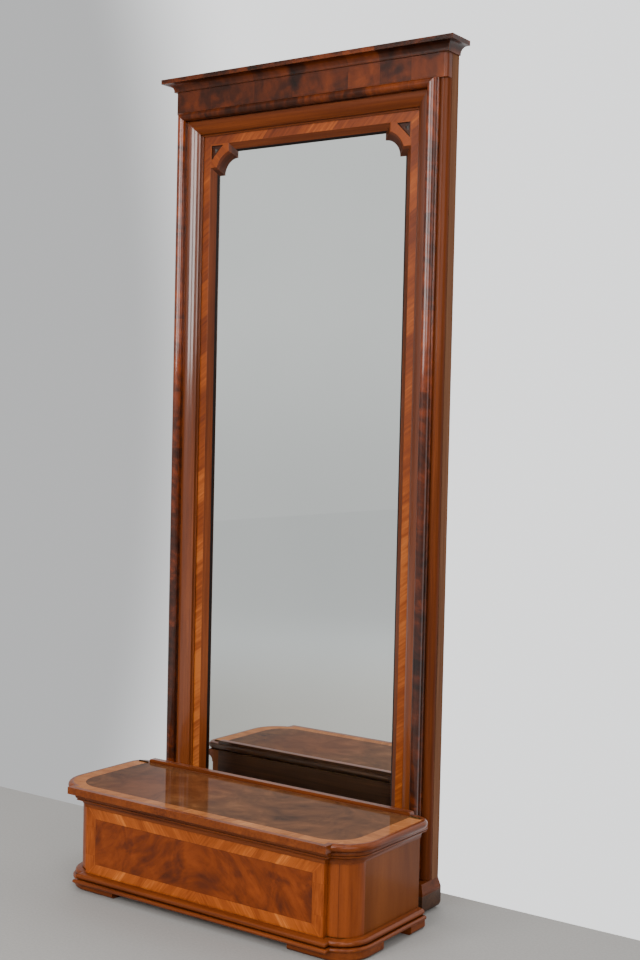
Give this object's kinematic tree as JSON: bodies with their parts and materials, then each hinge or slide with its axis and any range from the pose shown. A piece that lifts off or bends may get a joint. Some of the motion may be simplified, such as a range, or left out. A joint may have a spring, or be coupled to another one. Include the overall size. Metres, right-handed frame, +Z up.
{
  "type": "pier mirror with chest",
  "caption": "Tall veneered pier mirror with a stepped crown and corner brackets, and a low lidded chest with rounded corners standing in front of its foot.",
  "frame": {"origin": "on the floor, at the middle of the footprint", "axes": "+X to the right, -Y to the front, where the mirror and the chest face, +Z up"},
  "size_m": [0.986, 0.513, 2.18],
  "materials": {
    "softwood": "planed, unpolished",
    "side_wood": "french polished, light brown",
    "mahogany": "french polished, glossy",
    "flame_veneer": "flame figured veneer, french polished, glossy",
    "crossbanding": "cross-grained veneer, french polished",
    "side_veneer": "mahogany veneer, french polished",
    "dark_wood": "stained dark",
    "lid_veneer": "burr veneer with a light banding, worn polish",
    "mirror_glass": "silvered plate",
    "ornament": "dull silvered facets",
    "hinge_brass": "darkened with age"
  },
  "bodies": {
    "furniture": {"left_stile": "softwood", "right_stile": "softwood", "top_rail": "softwood", "bottom_rail": "softwood", "left_side_board": "side_wood", "right_side_board": "side_wood", "left_outer_round": "mahogany", "right_outer_round": "mahogany", "left_torus": "flame_veneer", "right_torus": "flame_veneer", "top_torus": "flame_veneer", "left_ovolo": "mahogany", "right_ovolo": "mahogany", "top_ovolo": "mahogany", "left_crossband": "crossbanding", "right_crossband": "crossbanding", "top_crossband": "crossbanding", "bottom_facing": "crossbanding", "left_slip": "mahogany", "right_slip": "mahogany", "top_slip": "mahogany", "bottom_slip": "mahogany", "left_bracket": "crossbanding", "right_bracket": "crossbanding", "bracket_ornaments": "ornament", "frieze": "flame_veneer", "crown_core": "softwood", "crown_front": "flame_veneer", "crown_left": "flame_veneer", "crown_right": "flame_veneer", "left_foot": "dark_wood", "right_foot": "dark_wood", "foot_caps": "mahogany", "mirror_glass": "mirror_glass", "glass_blocks": "softwood", "back_boards": "softwood", "chest_bottom": "softwood", "chest_back": "dark_wood", "chest_left_side": "side_veneer", "chest_right_side": "side_veneer", "chest_front": "softwood", "front_panel": "flame_veneer", "left_corner_post": "side_veneer", "right_corner_post": "side_veneer", "cornice_front": "mahogany", "cornice_left": "mahogany", "cornice_right": "mahogany", "base_front": "mahogany", "base_left": "mahogany", "base_right": "mahogany", "chest_front_feet": "mahogany", "chest_rear_feet": "mahogany", "rear_rail": "mahogany", "rear_strip": "mahogany", "hinge_rail_leaves": "hinge_brass", "hinge_pins": "hinge_brass"},
    "lid": {"lid_board": "lid_veneer", "lid_edging": "mahogany", "hinge_lid_leaves": "hinge_brass"}
  },
  "joints": [
    {"name": "lid_hinge", "type": "hinge", "parent": "furniture", "child": "lid", "pos_m": [0.015, 0.0711, 0.2753], "axis": [-1, 0, 0], "range_deg": [0, 95]}
  ]
}
